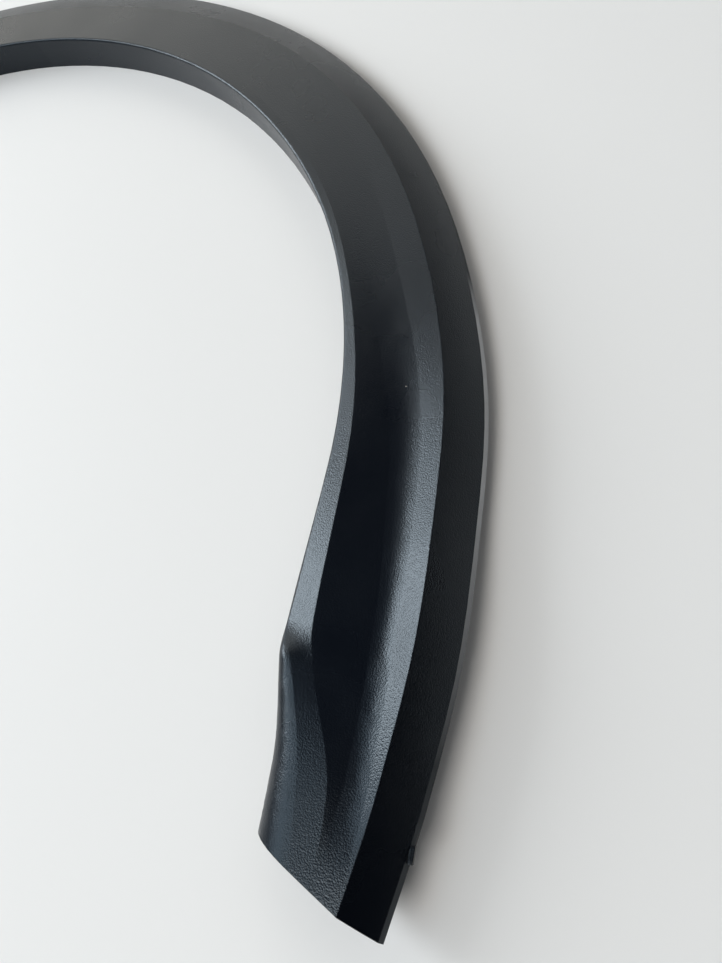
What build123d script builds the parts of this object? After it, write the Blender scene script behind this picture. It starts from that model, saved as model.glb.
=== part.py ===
from build123d import *
import math
import os

os.makedirs("parts", exist_ok=True)

# Wheel opening and legs
ARCH_RADIUS = 345.0
WALL = 2.8
KNEE_DROP = 84.0
END_CUT_DROP = 174.8
END_CUT_SLOPE_DEG = 23.6
END_CORNER_RADIUS = 7.0

# Return flange around the opening, which rolls over into the face below the knee
FLANGE_HEIGHT = 25.0
FLANGE_CORNER = 1.8
BEVEL_SHARE = 0.58
BOW_SHOULDER = 0.6
BOW_BROW = 1.6
BOW_WAIST = 1.5
BOW_KNEE = 0.5
KNEE_BLEND = 17.0
BLEND_RISE = 7.0
BLEND_ROLL = 8.0
TAIL_RISE = 7.5
TAIL_ROLL = 29.0
FLARE_RUN = 49.0
FLARE = 8.5
TAIL_FLARE = 8.0

# Face width in plan, from the flange to the outer edge
SHOULDER_DEG = 45.0
BROW_DEG = 22.0
WIDTH_CROWN = 64.5
WIDTH_SHOULDER = 74.0
WIDTH_BROW = 76.0
WIDTH_WAIST = 85.0
WIDTH_KNEE = 89.5
WIDTH_FLARE = 85.0
WIDTH_TAIL = 76.5

# Height of the outer edge above the flange's foot
EDGE_CROWN = 14.5
EDGE_SHOULDER = 13.5
EDGE_WAIST = 13.0
EDGE_KNEE = 18.0
EDGE_TAIL = 21.0

# Outer chamfer between the ridge and the outer edge, and the narrow band below that edge
CHAMFER_CROWN = 29.5
CHAMFER_SHOULDER = 25.0
CHAMFER_WAIST = 20.0
CHAMFER_KNEE = 19.5
CHAMFER_TAIL = 19.5
RIDGE_RISE_CROWN = 10.5
RIDGE_RISE_WAIST = 22.0
RIDGE_RISE_KNEE = 21.0
RIDGE_RISE_TAIL = 13.0
CHAMFER_BULGE = 0.6
BAND_WIDTH = 1.8
BAND_DROP = 3.6

# Inner lip, crease, and the hollow between crease and ridge
CREASE_CROWN = 7.5
CREASE_WAIST = 13.5
CREASE_KNEE = 17.0
CREASE_BLEND = 21.5
CREASE_FADE = 43.5
CREASE_END_GAP = 16.0
LIP_LIFT_WAIST = 2.0
LIP_LIFT_KNEE = 3.1
LIP_DIP_BLEND = 1.8
HOLLOW_START_DEG = 60.0
HOLLOW_BROW = 2.3
HOLLOW_WAIST = 6.1
HOLLOW_KNEE = 7.2
HOLLOW_BLEND = 6.0
HOLLOW_FADE_RUN = 57.0
HOLLOW_FADE = 2.8
HOLLOW_TAPER = 84.0
VALLEY_BROW = 0.40
VALLEY_WAIST = 0.62
VALLEY_KNEE = 0.69
VALLEY_END = 0.5
VALLEY_ROLL_CROWN = 6.0
VALLEY_ROLL_BROW = 11.0
VALLEY_ROLL_WAIST = 8.5
VALLEY_ROLL_KNEE = 6.5
VALLEY_ROLL_END = 6.0

# Gussets behind the flange and the wall that closes each end
GUSSET_THICKNESS = 2.0
GUSSET_REACH = 27.0
GUSSET_FOOT = 7.0
GUSSET_TOE = 6.0
GUSSET_HEEL = 18.0
GUSSET_FIRST_DEG = 3.0
GUSSET_STEP_DEG = 14.0
GUSSET_COUNT = 7
GUSSET_DROPS = (45.0, 100.0, 140.0)
END_WALL = 2.4
END_WALL_TOE = 20.0
BACKING_FOOT = 1.5

# Clip towers behind the face
TOWER_SIZE = 24.0
TOWER_WALL = 2.4
TOWER_FOOT = 11.0
TOWER_FLOOR = 2.6
CLIP_HOLE = 8.5
LEG_TOWER_REACH = 42.0
LEG_TOWER_LOW = -100.0
LEG_TOWER_HIGH = 70.0
SHOULDER_TOWER_DEG = 38.0
SHOULDER_TOWER_REACH = 37.0
CROWN_TOWER_DEG = 66.0
CROWN_TOWER_REACH = 31.0

# Screw holes through the flange
SCREW_HOLE = 6.2
SCREW_DROPS = (20.0, 70.0)
SCREW_HEIGHT = 12.0

# Small lug on the band near the end
LUG_DROP = 171.7
LUG_LENGTH = 7.5
LUG_REACH = 0.9

# Sections along each half, the first of them just past the crown
ARC_STEPS = 16
LEG_STEPS = 30
CROWN_OVERLAP = 1

# Lengths that follow from those above
QUARTER = ARCH_RADIUS * math.pi / 2
SLOPE = math.tan(math.radians(END_CUT_SLOPE_DEG))
TAIL_DROP = END_CUT_DROP + WIDTH_TAIL * SLOPE
HIGH = 2 * (EDGE_KNEE + RIDGE_RISE_KNEE)
REACH = 2 * WIDTH_KNEE


def on_arc(degrees):
    """Run from the crown to an angle above the wheel's centre line."""
    return ARCH_RADIUS * math.radians(90.0 - degrees)


def on_leg(drop):
    """Run from the crown to a drop below the wheel's centre line."""
    return QUARTER + drop


CROWN = 0.0
SHOULDER = on_arc(SHOULDER_DEG)
BROW = on_arc(BROW_DEG)
HOLLOW_START = on_arc(HOLLOW_START_DEG)
WAIST = on_leg(0.0)
KNEE = on_leg(KNEE_DROP)
BLEND = on_leg(KNEE_DROP + KNEE_BLEND)
FLARED = BLEND + FLARE_RUN
HOLLOW_FADING = BLEND + HOLLOW_FADE_RUN
HOLLOW_END = BLEND + HOLLOW_TAPER
TAIL = on_leg(TAIL_DROP)
SPAN = TAIL + CHAMFER_TAIL


def profile(*knots):
    """Smooth curve through (run, value) knots with no overshoot, level at the crown."""
    runs = [k[0] for k in knots]
    values = [k[1] for k in knots]
    gaps = [b - a for a, b in zip(runs, runs[1:])]
    slopes = [(b - a) / g for a, b, g in zip(values, values[1:], gaps)]
    tangents = [0.0]
    for left, right in zip(slopes, slopes[1:]):
        tangents.append(2 * left * right / (left + right) if left * right > 0 else 0.0)
    tangents.append(slopes[-1])

    def at(run):
        run = abs(run)
        if run >= runs[-1]:
            return values[-1] + tangents[-1] * (run - runs[-1])
        i = max(k for k in range(len(gaps)) if run >= runs[k])
        t = (run - runs[i]) / gaps[i]
        rise = values[i + 1] - values[i]
        start = gaps[i] * tangents[i]
        finish = gaps[i] * tangents[i + 1]
        bend = start + finish - 2 * rise
        return values[i] + t * (start + t * (3 * rise - 2 * start - finish + t * bend))

    return at


width_at = profile((CROWN, WIDTH_CROWN), (SHOULDER, WIDTH_SHOULDER), (BROW, WIDTH_BROW),
                   (WAIST, WIDTH_WAIST), (KNEE, WIDTH_KNEE), (FLARED, WIDTH_FLARE), (TAIL, WIDTH_TAIL))
edge_at = profile((CROWN, EDGE_CROWN), (SHOULDER, EDGE_SHOULDER), (WAIST, EDGE_WAIST),
                  (KNEE, EDGE_KNEE), (TAIL, EDGE_TAIL))
chamfer_at = profile((CROWN, CHAMFER_CROWN), (SHOULDER, CHAMFER_SHOULDER), (WAIST, CHAMFER_WAIST),
                     (KNEE, CHAMFER_KNEE), (TAIL, CHAMFER_TAIL))
rise_at = profile((CROWN, RIDGE_RISE_CROWN), (WAIST, RIDGE_RISE_WAIST), (KNEE, RIDGE_RISE_KNEE),
                  (TAIL, RIDGE_RISE_TAIL))
corner_at = profile((CROWN, FLANGE_HEIGHT), (KNEE, FLANGE_HEIGHT), (BLEND, FLANGE_HEIGHT + BLEND_RISE),
                    (TAIL, FLANGE_HEIGHT + TAIL_RISE))
roll_at = profile((CROWN, FLANGE_CORNER), (KNEE, FLANGE_CORNER), (BLEND, BLEND_ROLL), (TAIL, TAIL_ROLL))
flare_at = profile((CROWN, 0.0), (SHOULDER, BOW_SHOULDER), (BROW, BOW_BROW), (WAIST, BOW_WAIST),
                   (KNEE, BOW_KNEE), (FLARED, FLARE), (TAIL, TAIL_FLARE))
lift_at = profile((CROWN, 0.0), (HOLLOW_START, 0.0), (WAIST, LIP_LIFT_WAIST), (KNEE, LIP_LIFT_KNEE),
                  (BLEND, -LIP_DIP_BLEND), (HOLLOW_FADING, 0.0), (TAIL, 0.0))
hollow_at = profile((CROWN, 0.0), (HOLLOW_START, 0.0), (BROW, HOLLOW_BROW), (WAIST, HOLLOW_WAIST),
                    (KNEE, HOLLOW_KNEE), (BLEND, HOLLOW_BLEND), (HOLLOW_FADING, HOLLOW_FADE),
                    (HOLLOW_END, 0.0), (TAIL, 0.0))
valley_at = profile((CROWN, VALLEY_BROW), (BROW, VALLEY_BROW), (WAIST, VALLEY_WAIST), (KNEE, VALLEY_KNEE),
                    (BLEND, VALLEY_KNEE), (HOLLOW_END, VALLEY_END), (TAIL, VALLEY_END))
valley_roll_at = profile((CROWN, VALLEY_ROLL_CROWN), (BROW, VALLEY_ROLL_BROW), (WAIST, VALLEY_ROLL_WAIST),
                         (KNEE, VALLEY_ROLL_KNEE), (HOLLOW_FADING, VALLEY_ROLL_END), (TAIL, VALLEY_ROLL_END))


def ridge_reach(run):
    """Distance in plan from the flange to the ridge."""
    return width_at(run) - chamfer_at(run)


crease_at = profile((CROWN, CREASE_CROWN), (BROW, CREASE_CROWN), (WAIST, CREASE_WAIST),
                    (KNEE, CREASE_KNEE), (BLEND, CREASE_BLEND), (HOLLOW_FADING, CREASE_FADE),
                    (HOLLOW_END, ridge_reach(HOLLOW_END) - CREASE_END_GAP),
                    (TAIL, ridge_reach(TAIL) - CREASE_END_GAP))


def frame_at(run):
    """Flange foot and outward direction at a run on the right half, or just past the crown."""
    if run < QUARTER:
        angle = math.pi / 2 - run / ARCH_RADIUS
        outward = Vector(math.cos(angle), math.sin(angle))
        return outward * ARCH_RADIUS, outward
    return Vector(ARCH_RADIUS, QUARTER - run), Vector(1, 0)


def along(start, end, share):
    """Point part of the way from one section point to another."""
    return start[0] + (end[0] - start[0]) * share, start[1] + (end[1] - start[1]) * share


def toward(start, end, distance):
    """Point at a distance from one section point towards another."""
    return along(start, end, distance / math.dist(start, end))


def outline(run):
    """Outside of the wall: foot, corner, crease, valley, ridge, edge and the end of the band below it."""
    foot = (flare_at(run), 0.0)
    corner = (flare_at(run), corner_at(run))
    edge = (width_at(run) - BAND_WIDTH, edge_at(run))
    band = (width_at(run), edge_at(run) - BAND_DROP)
    ridge = (ridge_reach(run), edge_at(run) + rise_at(run))
    level = along(corner, ridge, (crease_at(run) - corner[0]) / (ridge[0] - corner[0]))
    crease = (level[0], level[1] + lift_at(run))
    level = along(crease, ridge, valley_at(run))
    valley = (level[0], level[1] - hollow_at(run))
    return [foot, corner, crease, valley, ridge, edge, band]


def inset(points, depth):
    """The same points moved into the wall by a depth, with mitred corners."""
    normals = []
    for (u0, z0), (u1, z1) in zip(points, points[1:]):
        length = math.dist((u0, z0), (u1, z1))
        normals.append(((z1 - z0) / length, (u0 - u1) / length))
    before = [normals[0]] + normals
    after = normals + [normals[-1]]
    moved = []
    for (u, z), a, b in zip(points, before, after):
        share = depth / (1 + a[0] * b[0] + a[1] * b[1])
        moved.append((u + (a[0] + b[0]) * share, z + (a[1] + b[1]) * share))
    return moved


def place(run, point):
    """Section point as a point in space."""
    foot, outward = frame_at(run)
    return foot + outward * point[0] + Vector(0, 0, point[1])


def outside_edges(run, put):
    """Edges along the visible side of the wall, from the foot to the end of the band."""
    foot, corner, crease, valley, ridge, edge, band = outline(run)
    low = put(toward(corner, foot, roll_at(run)))
    high = put(toward(corner, crease, roll_at(run)))
    near = put(toward(valley, crease, valley_roll_at(run)))
    far = put(toward(valley, ridge, valley_roll_at(run)))
    middle = along(ridge, edge, 0.5)
    bulge = (middle[0] + CHAMFER_BULGE, middle[1] + CHAMFER_BULGE)
    return [Line(put(foot), low), Bezier(low, put(corner), high), Line(high, put(crease)),
            Line(put(crease), near), Bezier(near, put(valley), far), Line(far, put(ridge)),
            Bezier(put(ridge), put(bulge), put(edge)), Line(put(edge), put(band))]


def bevel(before, turn, after, roll):
    """Both ends of the bevel that a rolled turn of the wall has on its hidden side."""
    return toward(turn, before, roll * BEVEL_SHARE), toward(turn, after, roll * BEVEL_SHARE)


def inside_edges(points, run, put):
    """Edges along the hidden side of the wall, where the rolled turns are bevels."""
    foot, corner, crease, valley, ridge, *rest = points
    turns = [foot, *bevel(foot, corner, crease, roll_at(run)), crease,
             *bevel(crease, valley, ridge, valley_roll_at(run)), ridge, *rest]
    places = [put(point) for point in turns]
    return [Line(start, end) for start, end in zip(places, places[1:])]


def wall_section(run):
    """Closed outline of the moulded wall at a run."""
    def put(point):
        return place(run, point)

    outside = outline(run)
    inside = inset(outside, WALL)
    edges = outside_edges(run, put) + inside_edges(inside, run, put)
    edges += [Line(put(outside[-1]), put(inside[-1])), Line(put(inside[0]), put(outside[0]))]
    return Wire(edges)


def core_section(run):
    """Closed outline of the space behind the wall, which the ribs and towers fill."""
    def put(point):
        return place(run, point)

    middle = inset(outline(run), WALL / 2)
    middle[0] = (middle[0][0], BACKING_FOOT)
    low = (middle[-1][0], BACKING_FOOT)
    edges = inside_edges(middle, run, put)
    edges += [Line(put(middle[-1]), put(low)), Line(put(low), put(middle[0]))]
    return Wire(edges)


def stations():
    """Runs of the sections, from just past the crown to just past the tail."""
    arc = [QUARTER * k / ARC_STEPS for k in range(-CROWN_OVERLAP, ARC_STEPS)]
    leg = [QUARTER + (SPAN - QUARTER) * k / LEG_STEPS for k in range(LEG_STEPS + 1)]
    return arc + leg


def gusset(run):
    """Triangular rib that ties the flange to the face."""
    foot, outward = frame_at(run)
    reach = flare_at(run) + GUSSET_REACH
    toe = flare_at(run) + GUSSET_TOE
    shape = [(0, GUSSET_FOOT), (toe, GUSSET_FOOT), (reach, GUSSET_HEEL), (reach, HIGH), (0, HIGH)]
    plane = Plane(foot, x_dir=outward, z_dir=outward.cross(Vector(0, 0, 1)))
    return extrude(plane * make_face(Polyline(*shape, close=True)), GUSSET_THICKNESS / 2, both=True)


def end_wall():
    """Plate that closes the open end along the slanted cut."""
    slant = Vector(1, -SLOPE).normalized()
    far = (WIDTH_TAIL / slant.X, EDGE_TAIL - BAND_DROP)
    shape = [(0, BACKING_FOOT), (END_WALL_TOE, BACKING_FOOT), far, (far[0], HIGH), (0, HIGH)]
    plane = Plane((ARCH_RADIUS, -END_CUT_DROP), x_dir=slant, z_dir=slant.cross(Vector(0, 0, 1)))
    return extrude(plane * make_face(Polyline(*shape, close=True)), -END_WALL)


def lug():
    """Small block that stands out of the band."""
    run = on_leg(LUG_DROP)
    start = place(run, (width_at(run) - WALL / 2, edge_at(run) - BAND_DROP))
    return Pos(start) * Box(LUG_REACH + WALL / 2, LUG_LENGTH, BAND_DROP,
                            align=(Align.MIN, Align.CENTER, Align.MIN))


def tower(x, y):
    """Three-sided clip tower with a holed floor, open towards the crown."""
    rise = HIGH - TOWER_FOOT
    low = (Align.CENTER, Align.CENTER, Align.MIN)
    body = Pos(0, 0, TOWER_FOOT) * Box(TOWER_SIZE, TOWER_SIZE, rise, align=low)
    pocket = Box(TOWER_SIZE - 2 * TOWER_WALL, TOWER_SIZE, rise, align=low)
    body -= Pos(0, TOWER_WALL, TOWER_FOOT + TOWER_FLOOR) * pocket
    body -= Cylinder(CLIP_HOLE / 2, HIGH)
    return Pos(x, y, 0) * Rot(0, 0, math.degrees(math.atan2(max(y, 0), x))) * body


def polar(degrees, reach):
    """Plan position at an angle and a distance out from the flange."""
    radius = ARCH_RADIUS + reach
    return radius * math.cos(math.radians(degrees)), radius * math.sin(math.radians(degrees))


# Lofted wall of the right half and the space behind it
wall = Solid.make_loft([wall_section(run) for run in stations()])
core = Solid.make_loft([core_section(run) for run in stations()])

# Ribs, end wall and clip towers, cut to fit behind the wall
backing = [gusset(on_arc(GUSSET_FIRST_DEG + GUSSET_STEP_DEG * k)) for k in range(GUSSET_COUNT)]
backing += [gusset(on_leg(drop)) for drop in GUSSET_DROPS]
leg_tower_x = ARCH_RADIUS + LEG_TOWER_REACH
backing += [tower(leg_tower_x, LEG_TOWER_LOW), tower(leg_tower_x, LEG_TOWER_HIGH)]
backing.append(tower(*polar(SHOULDER_TOWER_DEG, SHOULDER_TOWER_REACH)))
backing.append(tower(*polar(CROWN_TOWER_DEG, CROWN_TOWER_REACH)))
backing.append(end_wall())
half = wall.fuse(*[solid for piece in backing for solid in (core & piece).solids()], lug().solid())

# Half plane of the crown and the slanted end with its rounded inner corner
inner_x = ARCH_RADIUS + TAIL_FLARE
far_x = ARCH_RADIUS + REACH
keep = make_face(Polyline((0, -KNEE_DROP), (ARCH_RADIUS - WALL, -KNEE_DROP),
                          (inner_x, -END_CUT_DROP - TAIL_FLARE * SLOPE),
                          (far_x, -END_CUT_DROP - REACH * SLOPE), (far_x, far_x), (0, far_x), close=True))
keep = fillet([v for v in keep.vertices() if abs(v.X - inner_x) < WALL / 2], END_CORNER_RADIUS)
half = half & extrude(keep, HIGH)

# Screw holes through the flange on the leg
for drop in SCREW_DROPS:
    across = Plane((ARCH_RADIUS, -drop, SCREW_HEIGHT), z_dir=(1, 0, 0))
    half -= across * Cylinder(SCREW_HOLE / 2, SCREW_HOLE + 2 * WALL)

# Both halves in one piece, over the middle of its footprint
moulding = half + mirror(half, Plane.YZ)
box = moulding.bounding_box()
moulding = Pos(-box.center().X, -box.center().Y, -box.min.Z) * moulding
export_step(moulding, "parts/arch_moulding.step")
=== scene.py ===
import math

import bpy
from mathutils import Matrix, Vector


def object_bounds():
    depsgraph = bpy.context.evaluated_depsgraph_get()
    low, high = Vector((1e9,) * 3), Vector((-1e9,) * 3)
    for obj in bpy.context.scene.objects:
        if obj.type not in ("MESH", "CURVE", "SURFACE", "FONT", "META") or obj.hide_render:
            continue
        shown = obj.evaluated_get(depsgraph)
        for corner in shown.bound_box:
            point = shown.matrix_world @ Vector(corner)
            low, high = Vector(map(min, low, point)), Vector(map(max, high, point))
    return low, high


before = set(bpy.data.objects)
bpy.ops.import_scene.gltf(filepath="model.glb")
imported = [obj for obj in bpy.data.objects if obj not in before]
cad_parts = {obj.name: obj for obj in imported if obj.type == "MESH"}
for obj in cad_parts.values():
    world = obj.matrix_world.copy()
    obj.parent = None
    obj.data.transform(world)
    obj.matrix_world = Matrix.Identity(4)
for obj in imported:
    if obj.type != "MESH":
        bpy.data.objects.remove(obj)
cad_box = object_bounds()

# Camera, in metres and degrees
CAMERA_AT = Vector((0.4869, -0.2225, 0.3655))
CAMERA_PITCH = math.radians(63.95)
CAMERA_AZIMUTH = math.radians(-45.80)
CAMERA_ROLL = math.radians(35.89)
CAMERA_NEAR = 0.01
LENS_MM = 27.03
SENSOR_MM = 36.0

# Table top
TABLE_SIDE = 60.0
TABLE_GAP = 0.0002
TABLE_COLOR = (0.72, 0.715, 0.71, 1.0)
TABLE_ROUGHNESS = 0.7
TABLE_GLOW = 0.035

# Soft lights, by the direction they come from: a window on the side of the wheel opening, a pale wall
# beyond the crown, a panel over the leg's end, a light behind the camera and a weak one opposite them
LAMP_FAR = 5.0
LAMPS = {
    "window": dict(zenith=65, azimuth=172, size=(2.0, 2.6), radiance=12.5, tint=(0.92, 0.97, 1.0)),
    "wall": dict(zenith=62, azimuth=120, size=(6.0, 3.0), radiance=2.0, tint=(1.0, 0.97, 0.90)),
    "panel": dict(zenith=44, azimuth=211, size=(3.4, 2.8), radiance=2.7, tint=(0.73, 0.89, 1.0)),
    "back": dict(zenith=42, azimuth=252, size=(2.6, 2.6), radiance=7.0, tint=(1.0, 0.97, 0.93)),
    "fill": dict(zenith=50, azimuth=45, size=(3.4, 3.0), radiance=0.8, tint=(0.95, 0.98, 1.0)),
}
ROOM_COLOR = (1.0, 1.0, 1.0, 1.0)
ROOM_AT_HORIZON = 0.05
ROOM_OVERHEAD = 0.02

# Grained plastic, sizes in metres
PLASTIC_COLOR = (0.0008, 0.0017, 0.0043, 1.0)
PLASTIC_SPECULAR = 0.40
PLASTIC_TINT = (0.78, 0.90, 1.0, 1.0)
PLASTIC_ROUGHNESS = (0.26, 0.32)
PATCH_SIZE = 0.05
PATCH_DETAIL = 3.0
PATCH_SPAN = (0.3, 0.7)
GRAIN_CELL = 0.0008
GRAIN_HEIGHT = 0.00008
EDGE_SOFTNESS = 0.0008
EDGE_SAMPLES = 6
DUST_COLOR = (0.30, 0.28, 0.25, 1.0)
DUST_CELL = 0.018
DUST_SHARE = 0.30
DUST_RADIUS = 0.00035

# Painted highlight: a pale band on the steep outer edge of each leg stands in for the light that edge
# catches. Painted shade fades it toward the arch and toward the leg's end
PAINTED_EDGE_HIGHLIGHT_COLOR = (0.52, 0.53, 0.54, 1.0)
BAND_ROUGHNESS = 0.55
BAND_STEEP = (0.25, 0.53)
BAND_FROM = 0.395
PAINTED_SHADE_TOWARD_END = (-0.235, -0.10)
BAND_LEAST = 0.03
PAINTED_SHADE_TOWARD_ARCH = (0.0, 0.035)
WHEEL_Y = -0.10064


def node(tree, kind, **values):
    """New node with its named inputs set."""
    made = tree.nodes.new(kind)
    for name, value in values.items():
        made.inputs[name.replace("_", " ")].default_value = value
    return made


def calc(tree, operation, *values):
    """Result of a sum on sockets and plain numbers."""
    made = tree.nodes.new("ShaderNodeMath")
    made.operation = operation
    for socket, value in zip(made.inputs, values):
        if isinstance(value, (int, float)):
            socket.default_value = value
        else:
            tree.links.new(value, socket)
    return made.outputs[0]


def parts_of(tree, socket):
    """The three parts of a vector socket."""
    made = tree.nodes.new("ShaderNodeSeparateXYZ")
    tree.links.new(socket, made.inputs[0])
    return made.outputs


def remap(tree, socket, span, low, high):
    """Socket carried over from one span of values to another."""
    made = node(tree, "ShaderNodeMapRange", From_Min=span[0], From_Max=span[1], To_Min=low, To_Max=high)
    tree.links.new(socket, made.inputs["Value"])
    return made.outputs["Result"]


def blend(tree, share, first, second):
    """Mix of two colours, each a plain colour or a socket."""
    made = tree.nodes.new("ShaderNodeMix")
    made.data_type = "RGBA"
    tree.links.new(share, made.inputs["Factor"])
    for socket, value in zip((s for s in made.inputs if s.type == "RGBA"), (first, second)):
        if isinstance(value, tuple):
            socket.default_value = value
        else:
            tree.links.new(value, socket)
    return next(s for s in made.outputs if s.type == "RGBA")


def material(name):
    """New node material, its node tree and its shader."""
    made = bpy.data.materials.new(name)
    made.use_nodes = True
    return made, made.node_tree, made.node_tree.nodes["Principled BSDF"]


def camera():
    """Camera over the right leg, looking down past the wheel opening, turned as the photograph is."""
    ahead = Vector((math.cos(CAMERA_PITCH) * math.sin(CAMERA_AZIMUTH),
                    math.cos(CAMERA_PITCH) * math.cos(CAMERA_AZIMUTH), -math.sin(CAMERA_PITCH)))
    level = Vector((math.cos(CAMERA_AZIMUTH), -math.sin(CAMERA_AZIMUTH), 0.0))
    under = ahead.cross(level)
    right = level * math.cos(CAMERA_ROLL) + under * math.sin(CAMERA_ROLL)
    down = under * math.cos(CAMERA_ROLL) - level * math.sin(CAMERA_ROLL)
    data = bpy.data.cameras.new("camera")
    data.lens = LENS_MM
    data.sensor_width = SENSOR_MM
    data.clip_start = CAMERA_NEAR
    seen = bpy.data.objects.new("camera", data)
    bpy.context.collection.objects.link(seen)
    turn = Matrix((right, -down, -ahead)).transposed()
    seen.matrix_world = Matrix.Translation(CAMERA_AT) @ turn.to_4x4()
    bpy.context.scene.camera = seen


def table():
    """Plain pale table top under the trim, a little paler to the eye and in reflections than as a light."""
    half = TABLE_SIDE / 2
    low = cad_box[0][2] - TABLE_GAP
    mesh = bpy.data.meshes.new("table")
    mesh.from_pydata([(-half, -half, low), (half, -half, low), (half, half, low), (-half, half, low)], [],
                     [(0, 1, 2, 3)])
    made, tree, shader = material("table")
    shader.inputs["Base Color"].default_value = TABLE_COLOR
    shader.inputs["Roughness"].default_value = TABLE_ROUGHNESS
    shader.inputs["Emission Color"].default_value = TABLE_COLOR
    path = tree.nodes.new("ShaderNodeLightPath").outputs
    mirrored = calc(tree, "MAXIMUM", path["Is Glossy Ray"], path["Is Transmission Ray"])
    shown = calc(tree, "MAXIMUM", path["Is Camera Ray"], mirrored)
    tree.links.new(calc(tree, "MULTIPLY", shown, TABLE_GLOW), shader.inputs["Emission Strength"])
    mesh.materials.append(made)
    laid = bpy.data.objects.new("table", mesh)
    bpy.context.collection.objects.link(laid)


def lamp(name, zenith, azimuth, size, radiance, tint):
    """Soft rectangular light that faces the trim from a direction, given in degrees."""
    tilt, turn = math.radians(zenith), math.radians(azimuth)
    level = math.sin(tilt)
    at = LAMP_FAR * Vector((level * math.cos(turn), level * math.sin(turn), math.cos(tilt)))
    data = bpy.data.lights.new(name, "AREA")
    data.shape = "RECTANGLE"
    data.size, data.size_y = size
    data.energy = radiance * math.pi * size[0] * size[1]
    data.color = tint
    lit = bpy.data.objects.new(name, data)
    lit.location = at
    lit.rotation_euler = (-at).to_track_quat("-Z", "Y").to_euler()
    bpy.context.collection.objects.link(lit)


def room():
    """Dim room, a little lighter at the horizon than overhead."""
    made = bpy.data.worlds.new("room")
    made.use_nodes = True
    tree = made.node_tree
    sky = tree.nodes["Background"].inputs
    sky["Color"].default_value = ROOM_COLOR
    height = parts_of(tree, tree.nodes.new("ShaderNodeTexCoord").outputs["Generated"])[2]
    tree.links.new(remap(tree, height, (0.0, 1.0), ROOM_AT_HORIZON, ROOM_OVERHEAD), sky["Strength"])
    bpy.context.scene.world = made


def painted_edge_light_masks(tree, where):
    """Two masks of the narrow band below the outer edge: all of it, and its stretch that carries the
    painted highlight and painted shade.

    The band is steep and far from the middle line of the wheel opening and its legs.
    """
    x, y, _ = parts_of(tree, where["Object"])
    above = calc(tree, "MAXIMUM", calc(tree, "SUBTRACT", y, WHEEL_Y), 0.0)
    squares = calc(tree, "ADD", calc(tree, "MULTIPLY", x, x), calc(tree, "MULTIPLY", above, above))
    away = calc(tree, "SQRT", squares)
    up = parts_of(tree, where["Normal"])[2]
    steep = calc(tree, "MULTIPLY", calc(tree, "GREATER_THAN", up, BAND_STEEP[0]),
                 calc(tree, "LESS_THAN", up, BAND_STEEP[1]))
    band = calc(tree, "MULTIPLY", steep, calc(tree, "GREATER_THAN", away, BAND_FROM))
    # Painted shade: the band's pale colour fades toward the leg's end and toward the arch, where the edge
    # gets less light
    fades = calc(tree, "MULTIPLY", remap(tree, y, PAINTED_SHADE_TOWARD_END, BAND_LEAST, 1.0),
                 remap(tree, y, PAINTED_SHADE_TOWARD_ARCH, 1.0, 0.0))
    return band, calc(tree, "MULTIPLY", band, fades)


def dust_mask(tree, where):
    """Small round specks in some cells of a wide pattern."""
    cells = node(tree, "ShaderNodeTexVoronoi", Scale=1 / DUST_CELL)
    tree.links.new(where["Object"], cells.inputs["Vector"])
    near = calc(tree, "LESS_THAN", cells.outputs["Distance"], DUST_RADIUS / DUST_CELL)
    some = calc(tree, "LESS_THAN", parts_of(tree, cells.outputs["Color"])[0], DUST_SHARE)
    return calc(tree, "MULTIPLY", near, some)


def grain_normal(tree, where, smooth):
    """Normals of a fine pebble grain over slightly rounded edges, bare where the mask says smooth."""
    cells = node(tree, "ShaderNodeTexVoronoi", Scale=1 / GRAIN_CELL)
    tree.links.new(where["Object"], cells.inputs["Vector"])
    edges = node(tree, "ShaderNodeBevel", Radius=EDGE_SOFTNESS)
    edges.samples = EDGE_SAMPLES
    bump = node(tree, "ShaderNodeBump", Strength=1.0, Distance=GRAIN_HEIGHT)
    bump.invert = True
    tree.links.new(calc(tree, "MULTIPLY", cells.outputs["Distance"], calc(tree, "SUBTRACT", 1.0, smooth)),
                   bump.inputs["Height"])
    tree.links.new(edges.outputs["Normal"], bump.inputs["Normal"])
    return bump.outputs["Normal"]


def plastic():
    """Black plastic with a fine pebble grain, uneven gloss, a few specks of dust and a painted highlight on
    the outer band, faded by painted shade.
    """
    made, tree, shader = material("black_plastic")
    shader.inputs["Specular IOR Level"].default_value = PLASTIC_SPECULAR
    shader.inputs["Specular Tint"].default_value = PLASTIC_TINT
    where = tree.nodes.new("ShaderNodeTexCoord").outputs
    band, pale = painted_edge_light_masks(tree, where)
    dust = dust_mask(tree, where)
    # The pale colour on the outer band is a painted highlight for the light the steep edge catches
    color = blend(tree, pale, PLASTIC_COLOR, PAINTED_EDGE_HIGHLIGHT_COLOR)
    tree.links.new(blend(tree, dust, color, DUST_COLOR), shader.inputs["Base Color"])

    patches = node(tree, "ShaderNodeTexNoise", Scale=1 / PATCH_SIZE, Detail=PATCH_DETAIL)
    tree.links.new(where["Object"], patches.inputs["Vector"])
    gloss = remap(tree, patches.outputs["Fac"], PATCH_SPAN, *PLASTIC_ROUGHNESS)
    dull = calc(tree, "MULTIPLY", calc(tree, "MAXIMUM", band, dust), BAND_ROUGHNESS)
    tree.links.new(calc(tree, "MAXIMUM", gloss, dull), shader.inputs["Roughness"])
    tree.links.new(grain_normal(tree, where, band), shader.inputs["Normal"])
    return made


bpy.context.scene.view_settings.view_transform = "Standard"
camera()
table()
for name, light in LAMPS.items():
    lamp(name, **light)
room()
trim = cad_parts["arch_moulding"]
trim.data.materials.clear()
trim.data.materials.append(plastic())
